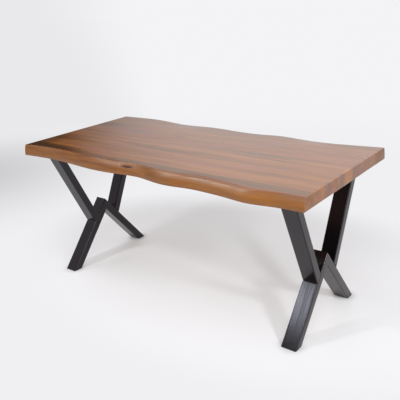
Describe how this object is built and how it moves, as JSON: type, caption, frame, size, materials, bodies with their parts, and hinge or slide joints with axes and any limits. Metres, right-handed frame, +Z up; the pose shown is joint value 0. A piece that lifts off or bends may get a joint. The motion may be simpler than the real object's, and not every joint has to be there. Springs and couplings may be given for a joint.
{
  "type": "dining table",
  "caption": "Rectangular dining table with a thick stained wooden top, wavy live edges along its long sides, and crossed rectangular-tube leg frames.",
  "frame": {"origin": "on the floor, under the centre of the table", "axes": "+X along the table's length to its right end, +Y across it from the front to the rear, +Z up"},
  "size_m": [1.7, 0.8663, 0.76],
  "materials": {
    "top_wood": "walnut-stained hardwood under satin varnish",
    "frame_coating": "charcoal black satin powder coat on steel",
    "pad_plastic": "moulded black plastic",
    "fastener_steel": "bright zinc plate",
    "insert_brass": "plain turned brass"
  },
  "bodies": {
    "root": {"top_stave_1": "top_wood", "top_stave_2": "top_wood", "top_stave_3": "top_wood", "top_stave_4": "top_wood", "top_stave_5": "top_wood", "top_stave_6": "top_wood", "top_stave_7": "top_wood", "left_front_lower_bar": "frame_coating", "left_rear_lower_bar": "frame_coating", "left_front_upper_bar": "frame_coating", "left_rear_upper_bar": "frame_coating", "left_mounting_plate": "frame_coating", "left_weld_beads": "frame_coating", "left_front_foot_pad": "pad_plastic", "left_rear_foot_pad": "pad_plastic", "left_bolts": "fastener_steel", "left_washers": "fastener_steel", "left_inserts": "insert_brass", "right_front_lower_bar": "frame_coating", "right_rear_lower_bar": "frame_coating", "right_front_upper_bar": "frame_coating", "right_rear_upper_bar": "frame_coating", "right_mounting_plate": "frame_coating", "right_weld_beads": "frame_coating", "right_front_foot_pad": "pad_plastic", "right_rear_foot_pad": "pad_plastic", "right_bolts": "fastener_steel", "right_washers": "fastener_steel", "right_inserts": "insert_brass"}
  },
  "joints": []
}
